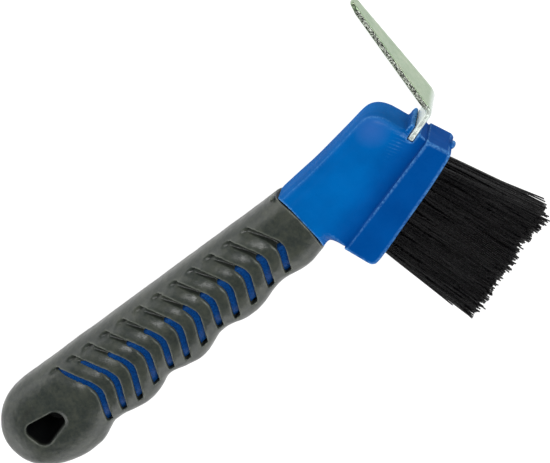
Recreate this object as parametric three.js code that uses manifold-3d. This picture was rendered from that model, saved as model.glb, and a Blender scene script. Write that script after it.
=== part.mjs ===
// Hoof pick with brush, lying on its side. Millimetres, +Z up.
// X runs along the handle from the butt (-X) to the pick end (+X), the pick
// points to +Y, the bristles point mostly to -Y, and Z is the thickness.
import * as THREE from 'three';
import { mergeVertices } from 'three/addons/utils/BufferGeometryUtils.js';
import Module from 'manifold-3d';

const wasm = await Module();
wasm.setup();

// ---------------------------------------------------------------- dimensions
const ORIGIN_SHIFT = [25.224, 7.292, 9.443];   // model frame -> bottom centre of the whole box
const FIT_GAP = 0.25;                    // clearance between nesting pieces

// rubber sleeve
const GRIP_HALF_T = 9.5;                 // thickest half thickness, mid sleeve
const FRONT_BOW = 3.0;
const SECTION_POWER = 2.45;              // superellipse power of the sleeve section

// chevron windows in the sleeve
const SLOT_COUNT = 12;
const SLOT_FIRST_X = -79.9;
const SLOT_PITCH = 6.97;
const SLOT_WIDTH_X = 2.5;

// hang hole
const HOLE_CORNERS = [[-99.6, 1.85], [-91.6, 0.45], [-99.1, -1.3]];   // centres of its three rounded corners
const HOLE_CORNER_R = 2.8;
const HOLE_LEDGE = 1.2;                  // the core's bore is this much smaller all round

// blue bar inside the sleeve
const SLEEVE_WALL = 1.5;                 // from the sleeve's outside to the bar
const WEB_HALF_T = 4.4;                  // thinner upper part of the bar
const BLIND_FLOOR_Z = 6.5;               // rubber floor of the slots above that web

// bent steel strip
const STRIP_T = 1.6;
const STRIP_HALF_W = 7.4;
const STRIP_TIP_HALF_W = 2.4;
const LEG_ANGLE = 15.8;                  // degrees from +X
const TINE_ANGLE = 85.8;                 // degrees from +X
const BEND = [59.85, 2.85];              // corner of the two centre lines
const BEND_R = 1.8;
const TINE_LEN = 35.8;
const LEG_EXPOSED = 9.6;                 // full width part of the leg
const LEG_LEN = 25.0;
const TANG_HALF_W = 5.5;

// brush block
const BLOCK_HALF_T = 7.4;
const AXIS_DEG = 16.6;                   // long axis of the block from +X
const ROWS = [-4.75, 0, 4.75];
const TUFTS_PER_ROW = 8;
const HOLE_R = 1.72;
const TUFT_R = 1.48;
const TUFT_TIP_R = 1.95;
const HOLE_DEPTH = 6.2;
const BRISTLE_LEN = 31.0;
const ANCHOR = [3.7, 0.4, 1.5];          // width, thickness, height of the flat wire
const FIELD = [16.95, 44.5];             // first and last tuft along the block

// ---------------------------------------------------------------- helpers
function solid(geo) {
  let g = geo.index ? geo.toNonIndexed() : geo.clone();
  for (const a of Object.keys(g.attributes)) if (a !== 'position') g.deleteAttribute(a);
  g = mergeVertices(g, 1e-4);
  return new wasm.Manifold(new wasm.Mesh({
    numProp: 3,
    vertProperties: new Float32Array(g.attributes.position.array),
    triVerts: new Uint32Array(g.index.array),
  }));
}
function part(man, name, mat) {
  const m = man.getMesh();
  const p = new Float32Array(m.numVert * 3);
  for (let i = 0; i < m.numVert; i++) {
    for (let k = 0; k < 3; k++) p[i * 3 + k] = m.vertProperties[i * m.numProp + k] + ORIGIN_SHIFT[k];
  }
  const g = new THREE.BufferGeometry();
  g.setAttribute('position', new THREE.BufferAttribute(p, 3));
  g.setIndex(new THREE.BufferAttribute(new Uint32Array(m.triVerts), 1));
  g.computeVertexNormals();
  const mesh = new THREE.Mesh(g, mat);
  mesh.name = name;
  return mesh;
}
function volumeOf(p, idx) {
  let v = 0;
  for (let i = 0; i < idx.length; i += 3) {
    const a = p[idx[i]], b = p[idx[i + 1]], c = p[idx[i + 2]];
    v += a[0] * (b[1] * c[2] - b[2] * c[1]) + a[1] * (b[2] * c[0] - b[0] * c[2]) + a[2] * (b[0] * c[1] - b[1] * c[0]);
  }
  return v;
}
// closed body through rings of points, both ends capped with a fan
function loft(rings) {
  const n = rings[0].length;
  const p = rings.flat().map((q) => [q[0], q[1], q[2]]);
  let idx = [];
  for (let r = 0; r + 1 < rings.length; r++) {
    for (let i = 0; i < n; i++) {
      const a = r * n + i, b = r * n + ((i + 1) % n), c = a + n, d = b + n;
      idx.push(a, b, d, a, d, c);
    }
  }
  const cap = (r, flip) => {
    const c = [0, 0, 0];
    for (const q of rings[r]) for (let k = 0; k < 3; k++) c[k] += q[k] / n;
    p.push(c);
    for (let i = 0; i < n; i++) {
      const a = r * n + i, b = r * n + ((i + 1) % n);
      if (flip) idx.push(p.length - 1, b, a); else idx.push(p.length - 1, a, b);
    }
  };
  cap(0, true);
  cap(rings.length - 1, false);
  if (volumeOf(p, idx) < 0) { const f = []; for (let i = 0; i < idx.length; i += 3) f.push(idx[i], idx[i + 2], idx[i + 1]); idx = f; }
  const g = new THREE.BufferGeometry();
  g.setAttribute('position', new THREE.BufferAttribute(new Float32Array(p.flat()), 3));
  g.setIndex(idx);
  return solid(g);
}
function prism(pts, z0, z1) {
  const s = new THREE.Shape(pts.map((q) => new THREE.Vector2(q[0], q[1])));
  const g = new THREE.ExtrudeGeometry(s, { depth: z1 - z0, bevelEnabled: false, steps: 1 });
  g.translate(0, 0, z0);
  return solid(g);
}
// outline moved inwards by d (points run counter-clockwise)
function inset(pts, d) {
  const n = pts.length;
  return pts.map((q, i) => {
    const a = pts[(i + n - 1) % n], b = pts[(i + 1) % n];
    const e1 = [q[0] - a[0], q[1] - a[1]], e2 = [b[0] - q[0], b[1] - q[1]];
    const l1 = Math.hypot(...e1), l2 = Math.hypot(...e2);
    const nx = -(e1[1] / l1 + e2[1] / l2), ny = e1[0] / l1 + e2[0] / l2, l = Math.hypot(nx, ny);
    const k = d / Math.max(0.5, l / 2);
    return [q[0] + (nx / l) * k, q[1] + (ny / l) * k];
  });
}
// plate with softened long edges
function softPlate(pts, half, soft) {
  const at = (p, z) => p.map((q) => [q[0], q[1], z]);
  return loft([at(inset(pts, soft), -half), at(pts, -half + soft), at(pts, half - soft), at(inset(pts, soft), half)]);
}
// smooth interpolation through a table of [x, value]
function table(rows) {
  return (x) => {
    const n = rows.length;
    if (x <= rows[0][0]) return rows[0][1];
    if (x >= rows[n - 1][0]) return rows[n - 1][1];
    let i = 0;
    while (x > rows[i + 1][0]) i++;
    const [x1, y1] = rows[i], [x2, y2] = rows[i + 1];
    const s = (y2 - y1) / (x2 - x1);
    const sl = (j) => (j < 1 || j > n - 2 ? s
      : (rows[j + 1][1] - rows[j - 1][1]) / (rows[j + 1][0] - rows[j - 1][0]));
    const m1 = sl(i), m2 = sl(i + 1), h = x2 - x1, t = (x - x1) / h;
    const t2 = t * t, t3 = t2 * t;
    return (2 * t3 - 3 * t2 + 1) * y1 + (t3 - 2 * t2 + t) * h * m1 + (-2 * t3 + 3 * t2) * y2 + (t3 - t2) * h * m2;
  };
}
const deg = (a) => (a * Math.PI) / 180;

// ---------------------------------------------------------------- sleeve shape
const TOP_K = 0.972, BOTTOM_K = 0.962;
const gripTopLine = table([[-114.2, 0.6], [-114, 3.2], [-113.4, 5.3], [-112, 7.9], [-110, 10.1], [-107, 12.6], [-103, 14.6],
  [-99, 15.5], [-95, 15.8], [-90, 15.6], [-82, 15.1], [-70, 14.6], [-50, 13.6], [-30, 12.7], [-10, 11.8], [0, 11.3], [8.6, 11.1]]);
const gripTop = (x) => TOP_K * gripTopLine(x);
const gripBottomLine = table([[-114.2, -0.6], [-114, -3.6], [-113.4, -5.8], [-112, -8.3], [-110, -10.3], [-107, -12.4], [-103, -14.3],
  [-99, -15.5], [-95, -16.2], [-91.5, -16.3], [-88, -15.9], [-84.5, -14.6], [-81, -13.3], [-78.5, -13.1], [-75, -13.4],
  [-71, -14.3], [-67, -14.8], [-63.5, -14.5], [-60, -13.5], [-57.5, -12.5], [-55, -12.0], [-52.5, -12.2], [-48.5, -13.3],
  [-44, -14.1], [-40.5, -13.7], [-37, -12.6], [-34, -11.6], [-31, -11.3], [-28, -11.7], [-24, -12.8], [-20, -13.1],
  [-16.5, -12.6], [-13, -11.6], [-10, -10.8], [-7, -10.5], [-4, -10.8], [0, -11.5], [3, -11.6], [6, -11.0], [8.6, -10.4]]);
const gripBottom = (x) => BOTTOM_K * gripBottomLine(x);
const gripHalfT = table([[-114.2, 0.8], [-114, 2.6], [-113.4, 4.1], [-112, 5.4], [-110, 6.6], [-107, 7.7], [-103, 8.4],
  [-95, 9.0], [-80, 9.35], [-60, GRIP_HALF_T], [-40, GRIP_HALF_T], [-20, 9.3], [0, 8.9], [8.6, 8.7]]);
const barLow = table([[-112, -13.0], [-98, -12.6], [-88, -11.6], [-79.9, -10.75], [-3.2, -7.75], [8.6, -7.6]]);
const coreTop = (x) => gripTop(x) - 2.2;
const buttX = (x) => x + (x < -100 ? 0.6 * ((-100 - x) / 14.2) : 0);
const coreInset = (x) => { const t = Math.max(0, Math.min(1, (-99 - x) / 9)); return SLEEVE_WALL + 0.8 * t * t * (3 - 2 * t); };

// the front edge of the sleeve is furthest forward on the two broad faces
const frontBow = (z) => FRONT_BOW * Math.min(1, Math.abs(z) / 8.7) ** 2;
function oval(x, top, bot, half, n, power = SECTION_POWER) {
  const yc = (top + bot) / 2, b = (top - bot) / 2, r = [];
  for (let i = 0; i < n; i++) {
    const t = (2 * Math.PI * i) / n, c = Math.cos(t), s = Math.sin(t);
    r.push([x, yc + b * Math.sign(c) * Math.abs(c) ** (2 / power), half * Math.sign(s) * Math.abs(s) ** (2 / power)]);
  }
  return r;
}
const gripX = [-114.2, -113.8, -112.6, -110.4, -107, -103, -98, -92, -87, -82.5, -78.5, -73, -67, -61.5,
  -55, -49.5, -43.5, -37.5, -31, -25.5, -20, -13.5, -7.2, -2, 3, 8.6];
const bowed = (ring, k) => ring.map(([x, y, z]) => [x + k * frontBow(z), y, z]);
let grip = loft(gripX.map((x) => bowed(oval(buttX(x), gripTop(x), gripBottom(x), gripHalfT(x), 22), Math.max(0, (x + 4) / 12.6))));

// bar section: the sleeve's outline moved in, flat underneath
const coreX = [-110, -107, -103, -98, -92, -84, -72, -60, -45, -30, -15, -3, 8.2];
const coreRings = (grow, x1) => [...coreX.slice(0, -1), x1].map((x, i) => oval(i === 0 ? x - grow : x,
  coreTop(x) + grow, gripBottom(x) + coreInset(x) - grow, gripHalfT(x) - coreInset(x) + grow, 26)
  .map(([px, y, z]) => [px, Math.max(y, barLow(x) - grow + 0.02 * (y - barLow(x) + grow)), z]));

// where the blue bar steps down to its web: part of each slot's upper limb
// (0 top end, 1 tip), and how far each slot runs on past the bar's lower edge
const BLUE_FROM = [-0.3, 0.44, 0.53, 0.60, 0.62, 0.72, 0.76, 0.77, 0.78, 0.80, 0.95, 1.08];
const RUN_ON = [0.0, 0.1, 1.0, 0.55, 0.1, 0.95, 1.0, 0.15, 1.0, 1.1, 0.6, 0.5];

// chevron outline number i between stations s0 and s1 (-1 low end, 0 tip, 1 top end)
function chevron(i, s0 = -1, s1 = 1) {
  const t = i / (SLOT_COUNT - 1);
  const xt = SLOT_FIRST_X + SLOT_PITCH * i;
  const yTop = 12.4 - 3.2 * t, yBot0 = -10.6 + 3.0 * t, yTip = (yTop + yBot0) / 2 - 0.8;
  const yBot = yBot0, yLow = barLow(xt) - RUN_ON[i] + 0.15;
  const dTop = 6.8 - 2.0 * t, dBot = dTop - 0.4 - 0.5 * t;
  const k = 0.3, f = (s) => (Math.sqrt(s * s + k * k) - k) / (Math.sqrt(1 + k * k) - k);
  const left = [], right = [];
  for (const s of [s0, ...[-0.66, -0.33, 0, 0.33, 0.66, 0.9].filter((q) => q > s0 + 0.02 && q < s1 - 0.02), s1]) {
    const y = s < 0 ? yTip + (yTip - (s < -0.9 ? yLow : yBot)) * s : yTip + (yTop - yTip) * s;
    const x = xt + dTop - (s < 0 ? dBot : dTop) * f(s);
    const w = SLOT_WIDTH_X * (s > 0.95 ? 0.62 : 1);
    left.push([x - w / 2, y]);
    right.push([x + w / 2, y]);
  }
  return right.concat(left.reverse());
}
// the step line of the bar, as a region above it
const stepPoint = (i) => {
  const p = chevron(i, -1, 1 - BLUE_FROM[i]);
  const half = p.length / 2;
  return [(p[half - 1][0] + p[half][0]) / 2, p[half - 1][1]];
};
function webRegion(grow) {
  const line = [];
  for (let i = 1; i < SLOT_COUNT; i++) { const [x, y] = stepPoint(i); line.push([x, y + grow]); }
  const [fx, fy] = line[0], ly = line[line.length - 1][1];
  return [[-77 + grow, 30], [-76 + grow, 14], [fx - 3.0, fy + 4.0], ...line, [20, ly - 0.6], [20, 30]];
}
const stepCut = (grow) => prism(webRegion(grow), WEB_HALF_T + grow, 20).add(prism(webRegion(grow), -20, -WEB_HALF_T - grow));

grip = grip.subtract(loft(coreRings(FIT_GAP, 16)).subtract(stepCut(FIT_GAP)));
for (let i = 0; i < SLOT_COUNT; i++) {
  const sb = Math.min(1, 1 - BLUE_FROM[i]);
  grip = grip.subtract(prism(chevron(i, -1, sb), 1.6, 14)).subtract(prism(chevron(i, -1, sb), -14, -1.6));
  if (sb < 1) grip = grip.subtract(prism(chevron(i, sb, 1), BLIND_FLOOR_Z, 14)).subtract(prism(chevron(i, sb, 1), -14, -BLIND_FLOOR_Z));
}

// rounded triangular hang hole, its narrow end towards the head
function hangHole(grow) {
  const r = [], rad = HOLE_CORNER_R + grow;
  for (let i = 0; i < 24; i++) {
    const a = (2 * Math.PI * (i + 0.5)) / 24, c = Math.cos(a), q = Math.sin(a);
    const t = HOLE_CORNERS.reduce((m, p) => (p[0] * c + p[1] * q > m[0] * c + m[1] * q ? p : m));
    r.push([t[0] + rad * c, t[1] + rad * q]);
  }
  return r;
}
grip = grip.subtract(prism(hangHole(0), -14, 14));

// ---------------------------------------------------------------- blue moulding
const seamY = (x) => -12.9 + (x - 13.9) * 0.2569;
const headTop = table([[8.9, 9.9], [14, 10.2], [22, 10.6], [30, 11.4], [38, 12.3], [42, 12.8], [44.5, 12.9], [46.5, 12.2],
  [48, 10.9], [49.2, 9.0], [50.1, 6.6], [50.8, 4.4], [51.4, 3.0], [52.4, 2.6], [53.4, 2.4]]);
const headBottom = table([[8.9, -9.6], [10.2, -9.2], [11.6, -9.1], [12.8, -9.6], [13.8, -10.7], [14.8, -12.2], [16, -14.0], [18, -13.6]]);
function headRing(x) {
  const top = headTop(x), bot = x < 18 ? headBottom(x) : seamY(x) - 1.6;
  const seam = seamY(x);
  const hmax = 8.2 - 0.9 * Math.max(0, (x - 20) / 34);
  const n = 10, up = [], ys = [];
  for (let i = 0; i <= n; i++) ys.push(top + (bot - top) * (1 - Math.cos((Math.PI * i) / n)) / 2);
  for (let i = 0; i <= n; i++) {
    const y = ys[i], d = top - y;
    const R = Math.min(5.5, (top - bot) * 0.6);
    let h = hmax - 2.6 + 2.6 * Math.sqrt(Math.max(0, 1 - (1 - Math.min(1, d / R)) ** 2));
    h -= (hmax - 2.6) * (d < 0.01 ? 0.35 : 0);
    const k = Math.min(1, Math.max(0, (6.5 - (y - seam)) / 6.5));
    h -= x > 13 ? 1.1 * k * k * (3 - 2 * k) : 0;
    const e = (y - bot) / 5.0, m = Math.max(0, Math.min(1, (14.6 - x) / 2.5));
    if (e < 1) h = (1 - m) * h + m * Math.min(h, 1.6 + (h - 1.6) * Math.sqrt(Math.max(0, 1 - (1 - e) ** 2)));
    up.push([x + frontBow(h) * Math.max(0, Math.min(1, (18 - x) / 9.1)), y, h]);
  }
  return up.concat(up.slice().reverse().map((q) => [q[0], q[1], -q[2]]));
}
const headX = [8.9, 10.2, 11.6, 12.8, 13.8, 14.8, 16, 18, 22, 26, 30, 34, 38, 42, 44.5, 46.5, 48, 49.2, 50.1, 50.8, 51.4, 52.4, 53.4];
let core = loft(headX.map(headRing));

const blockOutline = [[14.7, -12.6], [17.0, -20.0], [17.5, -21.1], [18.6, -21.75], [20.4, -21.5], [24.5, -20.4],
  [30.5, -18.6], [37.8, -16.4], [44, -14.5], [50, -12.5], [54.2, -11.0], [56.1, -10.1], [56.3, -9.0], [53.9, -2.9], [34, -7.9]];
core = core.add(softPlate(blockOutline, BLOCK_HALF_T, 0.7));
core = core.add(loft(coreRings(0, 9.6)).subtract(stepCut(0)));

// flange that hugs the inner face of the strip where it leaves the head
core = core.add(prism([[50.6, 0.2], [53.6, 1.2], [54.1, 2.9], [53.5, 3.3], [51.2, 2.9]], -6.6, 6.6));
core = core.subtract(prism(hangHole(-HOLE_LEDGE), -14, 14));

// ---------------------------------------------------------------- steel strip
const legDir = [Math.cos(deg(LEG_ANGLE)), Math.sin(deg(LEG_ANGLE))];
const tineDir = [Math.cos(deg(TINE_ANGLE)), Math.sin(deg(TINE_ANGLE))];
function stripPath() {
  const half = (180 - (TINE_ANGLE - LEG_ANGLE)) / 2;                     // half of the inside angle
  const back = BEND_R / Math.tan(deg(half));
  const pts = [];
  for (const s of [LEG_LEN, 18, LEG_EXPOSED + 0.3, LEG_EXPOSED, 5]) pts.push([BEND[0] - legDir[0] * s, BEND[1] - legDir[1] * s, LEG_ANGLE, -s]);
  const c = [BEND[0] - legDir[0] * back - legDir[1] * BEND_R, BEND[1] - legDir[1] * back + legDir[0] * BEND_R];
  for (let i = 0; i <= 5; i++) {
    const a = LEG_ANGLE + ((TINE_ANGLE - LEG_ANGLE) * i) / 5;
    pts.push([c[0] + BEND_R * Math.sin(deg(a)), c[1] - BEND_R * Math.cos(deg(a)), a, 0]);
  }
  for (const s of [6, 14, 22, 30, TINE_LEN - 1.6, TINE_LEN - 0.5, TINE_LEN]) pts.push([BEND[0] + tineDir[0] * s, BEND[1] + tineDir[1] * s, TINE_ANGLE, s]);
  return pts;
}
function stripHalfW(s) {
  if (s < -LEG_EXPOSED - 0.1) return TANG_HALF_W;
  if (s <= 4) return STRIP_HALF_W;
  const w = STRIP_HALF_W + ((STRIP_TIP_HALF_W - STRIP_HALF_W) * (s - 4)) / (TINE_LEN - 4);
  if (s > TINE_LEN - 0.1) return w - 1.3;
  if (s > TINE_LEN - 0.6) return w - 0.5;
  return w;
}
const pick = loft(stripPath().map(([x, y, a, s]) => {
  const nx = -Math.sin(deg(a)), ny = Math.cos(deg(a));
  const w = stripHalfW(s);
  const t = STRIP_T / 2 - (s > TINE_LEN - 0.6 ? (s > TINE_LEN - 0.1 ? 0.55 : 0.2) : 0);
  const e = 0.22;
  const ring = [[t - e, w], [t, w - e], [t, -w + e], [t - e, -w], [-t + e, -w], [-t, -w + e], [-t, w - e], [-t + e, w]];
  return ring.map(([o, z]) => [x + nx * o, y + ny * o, z]);
}));

// pocket for the leg: open on both sides for the exposed part, closed round the tang
function legBox(s0, s1, halfW, grow) {
  const nx = -legDir[1], ny = legDir[0], o = STRIP_T / 2 + grow;
  const q = (s, k) => [BEND[0] - legDir[0] * s + nx * k, BEND[1] - legDir[1] * s + ny * k];
  return prism([q(s0, o), q(s1, o), q(s1, -o), q(s0, -o)], -halfW, halfW);
}
core = core.subtract(legBox(-6, LEG_EXPOSED + 0.6, 14, 0.2));
core = core.subtract(legBox(4, LEG_LEN + 0.5, TANG_HALF_W + FIT_GAP, 0.2));

// ---------------------------------------------------------------- brush
const u = [Math.cos(deg(AXIS_DEG)), Math.sin(deg(AXIS_DEG))];
const v = [u[1], -u[0]];                                                 // bristle direction
const frontU = table([[10, 25.6], [14, 26.2], [22, 26.7], [31, 26.95], [40, 26.95], [47, 26.7], [52, 26.2]]);
const noise = (a, b) => { const k = Math.sin(a * 127.1 + b * 311.7) * 43758.5453; return k - Math.floor(k); };
const tufts = [], anchors = [];
let cutters = null;
function placed(geo, m) { geo.applyMatrix4(m); return solid(geo); }
for (let r = 0; r < ROWS.length; r++) {
  for (let c = 0; c < TUFTS_PER_ROW; c++) {
    const tu = FIELD[0] + (c * (FIELD[1] - FIELD[0])) / (TUFTS_PER_ROW - 1), z = ROWS[r];
    const vf = frontU(tu);
    const at = (d) => [u[0] * tu + v[0] * (vf + d), u[1] * tu + v[1] * (vf + d), z];
    const basis = new THREE.Matrix4().makeBasis(new THREE.Vector3(u[0], u[1], 0), new THREE.Vector3(v[0], v[1], 0), new THREE.Vector3(0, 0, -1));
    const put = (d) => { const p = at(d); return new THREE.Matrix4().makeTranslation(p[0], p[1], p[2]).multiply(basis); };
    const hole = placed(new THREE.CylinderGeometry(HOLE_R, HOLE_R, HOLE_DEPTH + 3, 9), put(-HOLE_DEPTH / 2 + 1.5));
    const slot = placed(new THREE.BoxGeometry(ANCHOR[1] + 0.5, ANCHOR[2] + 0.5, ANCHOR[0] + 0.4), put(-HOLE_DEPTH + (ANCHOR[2] + 0.5) / 2 - 0.1));
    cutters = cutters ? cutters.add(hole).add(slot) : hole.add(slot);
    // tuft: straight in its hole, then leaning outwards and spreading
    const leanU = ((tu - 30.7) / 13.8) * Math.tan(deg(4.0)), leanZ = (z / 4.75) * Math.tan(deg(2.2));
    const len = BRISTLE_LEN + (noise(r + 1, c + 1) - 0.5) * 1.8 + (c < 2 ? 1.4 - 0.6 * c : 0);
    const ring = (d, rad, twist = 0) => {
      const a = [], k = Math.max(0, d);
      for (let i = 0; i < 8; i++) {
        const t = (2 * Math.PI * i) / 8 + twist;
        const pu = tu + leanU * k + rad * Math.cos(t), pz = z + leanZ * k + rad * Math.sin(t);
        a.push([u[0] * pu + v[0] * (vf + d), u[1] * pu + v[1] * (vf + d), pz]);
      }
      return a;
    };
    const bottom = -HOLE_DEPTH + ANCHOR[2] + 0.7;
    tufts.push([`tuft_r${r + 1}_c${c + 1}`, loft([ring(bottom, TUFT_R - 0.1), ring(0.3, TUFT_R),
      ring(len * 0.5, TUFT_R + 0.16), ring(len - 0.6, TUFT_TIP_R), ring(len, TUFT_TIP_R * 0.8)])]);
    anchors.push([`tuft_anchor_r${r + 1}_c${c + 1}`, placed(new THREE.BoxGeometry(ANCHOR[1], ANCHOR[2], ANCHOR[0]), put(-HOLE_DEPTH + ANCHOR[2] / 2 + 0.15))]);
  }
}
core = core.subtract(cutters);

// ---------------------------------------------------------------- materials
const std = (color, roughness, metalness) => new THREE.MeshStandardMaterial({ color, roughness, metalness });
const group = new THREE.Group();
group.name = 'hoof_pick';
group.add(part(core, 'body_core', std(0x0a5cab, 0.38, 0.0)));
group.add(part(grip, 'rubber_grip', std(0x4a4e47, 0.62, 0.0)));
group.add(part(pick, 'pick_blade', std(0xb9c7b0, 0.3, 0.9)));
for (const [name, m] of tufts) group.add(part(m, name, std(0x121316, 0.45, 0.0)));
for (const [name, m] of anchors) group.add(part(m, name, std(0x9a9c9e, 0.35, 1.0)));

export default group;
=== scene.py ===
import math

import bpy
import numpy as np
from mathutils import Matrix, Vector


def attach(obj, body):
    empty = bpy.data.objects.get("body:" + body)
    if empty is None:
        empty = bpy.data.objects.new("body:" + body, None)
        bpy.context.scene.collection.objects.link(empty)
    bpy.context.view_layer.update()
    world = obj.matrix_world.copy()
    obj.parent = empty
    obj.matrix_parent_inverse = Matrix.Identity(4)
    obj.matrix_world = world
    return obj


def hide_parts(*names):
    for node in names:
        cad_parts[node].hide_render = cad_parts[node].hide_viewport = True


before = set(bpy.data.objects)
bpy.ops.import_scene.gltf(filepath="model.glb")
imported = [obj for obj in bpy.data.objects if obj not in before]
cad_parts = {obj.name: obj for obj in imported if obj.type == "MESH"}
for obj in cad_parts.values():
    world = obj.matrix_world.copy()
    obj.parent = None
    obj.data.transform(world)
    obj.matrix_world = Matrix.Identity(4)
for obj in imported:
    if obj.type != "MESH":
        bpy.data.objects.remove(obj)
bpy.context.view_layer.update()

# Hoof pick with brush, lying on its side on a pale floor. Shapes are written in
# the CAD source's model frame (millimetres: X along the handle, Y towards the
# pick, Z the thickness) and moved to the row frame in metres at the end.
scene = bpy.context.scene
SHIFT = np.array([25.224, 7.292, 9.443])
rng = np.random.default_rng(20117)


# ---------------------------------------------------------------- numbers
def table(rows):
    xs = np.array([r[0] for r in rows], float)
    ys = np.array([r[1] for r in rows], float)
    n = len(xs)
    seg = np.diff(ys) / np.diff(xs)
    mid = np.zeros(n)
    mid[1:-1] = (ys[2:] - ys[:-2]) / (xs[2:] - xs[:-2])

    def f(x):
        x = np.clip(np.asarray(x, float), xs[0], xs[-1])
        i = np.clip(np.searchsorted(xs, x, side="left") - 1, 0, n - 2)
        h = xs[i + 1] - xs[i]
        t = (x - xs[i]) / h
        m1 = np.where(i == 0, seg[i], mid[i])
        m2 = np.where(i + 1 == n - 1, seg[i], mid[i + 1])
        t2, t3 = t * t, t * t * t
        return ((2 * t3 - 3 * t2 + 1) * ys[i] + (t3 - 2 * t2 + t) * h * m1
                + (-2 * t3 + 3 * t2) * ys[i + 1] + (t3 - t2) * h * m2)
    return f


def smooth01(t):
    t = np.clip(t, 0.0, 1.0)
    return t * t * (3 - 2 * t)


def _hash(ix, iy, iz, seed):
    n = (ix * 374761393 + iy * 668265263 + iz * 2147483647 + seed * 1274126177) & 0xFFFFFFFF
    n = ((n ^ (n >> 13)) * 1274126177) & 0xFFFFFFFF
    n = ((n ^ (n >> 16)) * 2246822519) & 0xFFFFFFFF
    return ((n ^ (n >> 15)) & 0xFFFFFF) / float(0xFFFFFF) * 2 - 1


def value_noise(p, seed=0):
    """Smooth noise in -1..1 at points p (n, 3), one cell per unit."""
    q = np.floor(p).astype(np.int64)
    f = p - q
    w = f * f * f * (f * (f * 6 - 15) + 10)
    out = 0.0
    for dx in (0, 1):
        for dy in (0, 1):
            for dz in (0, 1):
                k = ((w[:, 0] if dx else 1 - w[:, 0]) * (w[:, 1] if dy else 1 - w[:, 1])
                     * (w[:, 2] if dz else 1 - w[:, 2]))
                out = out + k * _hash(q[:, 0] + dx, q[:, 1] + dy, q[:, 2] + dz, seed)
    return out


def fbm(p, octaves=3, seed=0):
    out, amp = 0.0, 1.0
    for o in range(octaves):
        out = out + amp * value_noise(p * (2.0 ** o) + 17.3 * o, seed + o)
        amp *= 0.5
    return out


# ---------------------------------------------------------------- mesh tools
def raw_object(name, verts, faces):
    me = bpy.data.meshes.new(name)
    me.from_pydata([tuple(map(float, v)) for v in verts], [], [tuple(map(int, f)) for f in faces])
    me.update()
    ob = bpy.data.objects.new(name, me)
    scene.collection.objects.link(ob)
    return ob


def signed_volume(verts, faces):
    v = np.asarray(verts, float)
    tot = 0.0
    for f in faces:
        a = v[f[0]]
        for k in range(1, len(f) - 1):
            tot += float(np.dot(a, np.cross(v[f[k]], v[f[k + 1]])))
    return tot


def loft(name, rings, cap=True):
    """Closed body through rings of the same number of points."""
    rings = [np.asarray(r, float) for r in rings]
    n = len(rings[0])
    verts = np.concatenate(rings)
    faces = []
    for r in range(len(rings) - 1):
        a = r * n + np.arange(n)
        b = r * n + (np.arange(n) + 1) % n
        faces += list(zip(a, b, b + n, a + n))
    if cap:
        for r, flip in ((0, True), (len(rings) - 1, False)):
            c = len(verts)
            verts = np.vstack([verts, rings[r].mean(axis=0)])
            for i in range(n):
                p, q = r * n + i, r * n + (i + 1) % n
                faces.append((c, q, p) if flip else (c, p, q))
    if signed_volume(verts, faces[::7]) < 0 and signed_volume(verts, faces) < 0:
        faces = [tuple(reversed(f)) for f in faces]
    elif signed_volume(verts, faces) < 0:
        faces = [tuple(reversed(f)) for f in faces]
    return raw_object(name, verts, faces)


def ribbon_box(name, left, right, z0, z1):
    """Closed box over a strip of stations; z0 may change from station to station."""
    m = len(left)
    z0 = np.broadcast_to(np.asarray(z0, float), (m,))
    z1 = np.broadcast_to(np.asarray(z1, float), (m,))
    verts, faces = [], []
    for j in range(m):
        verts += [(*left[j], z0[j]), (*right[j], z0[j]), (*right[j], z1[j]), (*left[j], z1[j])]
    for j in range(m - 1):
        a, b = 4 * j, 4 * j + 4
        for k in range(4):
            faces.append((a + k, a + (k + 1) % 4, b + (k + 1) % 4, b + k))
    faces.append((3, 2, 1, 0))
    e = 4 * (m - 1)
    faces.append((e, e + 1, e + 2, e + 3))
    if signed_volume(verts, faces) < 0:
        faces = [tuple(reversed(f)) for f in faces]
    return raw_object(name, verts, faces)


def bake(ob):
    """Applies the modifiers."""
    dg = bpy.context.evaluated_depsgraph_get()
    me = bpy.data.meshes.new_from_object(ob.evaluated_get(dg))
    ob.modifiers.clear()
    old, ob.data = ob.data, me
    bpy.data.meshes.remove(old)
    return ob


def drop(*obs):
    for o in obs:
        me = o.data
        bpy.data.objects.remove(o, do_unlink=True)
        if me is not None and me.users == 0:
            bpy.data.meshes.remove(me)


def combine(ob, others, operation):
    """Boolean of ob with each of others, which are then removed."""
    for o in others:
        m = ob.modifiers.new("b", "BOOLEAN")
        m.operation, m.solver, m.object = operation, "MANIFOLD", o
        bake(ob)
        drop(o)
    return ob


def joined(name, obs):
    """One object holding separate closed bodies that don't touch each other."""
    verts, faces, base = [], [], 0
    for o in obs:
        v, f = arrays(o)
        verts.append(v)
        faces += [tuple(k + base for k in p) for p in f]
        base += len(v)
    made = raw_object(name, np.concatenate(verts), faces)
    drop(*obs)
    return made


def arrays(ob):
    me = ob.data
    v = np.empty(len(me.vertices) * 3)
    me.vertices.foreach_get("co", v)
    return v.reshape(-1, 3), [tuple(p.vertices) for p in me.polygons]


def get_co(ob):
    v = np.empty(len(ob.data.vertices) * 3)
    ob.data.vertices.foreach_get("co", v)
    return v.reshape(-1, 3)


def set_co(ob, v):
    ob.data.vertices.foreach_set("co", np.asarray(v, np.float32).ravel())
    ob.data.update()


def get_no(ob):
    n = np.empty(len(ob.data.vertices) * 3)
    ob.data.vertex_normals.foreach_get("vector", n)
    return n.reshape(-1, 3)


def remesh(ob, voxel):
    m = ob.modifiers.new("r", "REMESH")
    m.mode, m.voxel_size, m.adaptivity = "VOXEL", voxel, 0.0
    return bake(ob)


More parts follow.
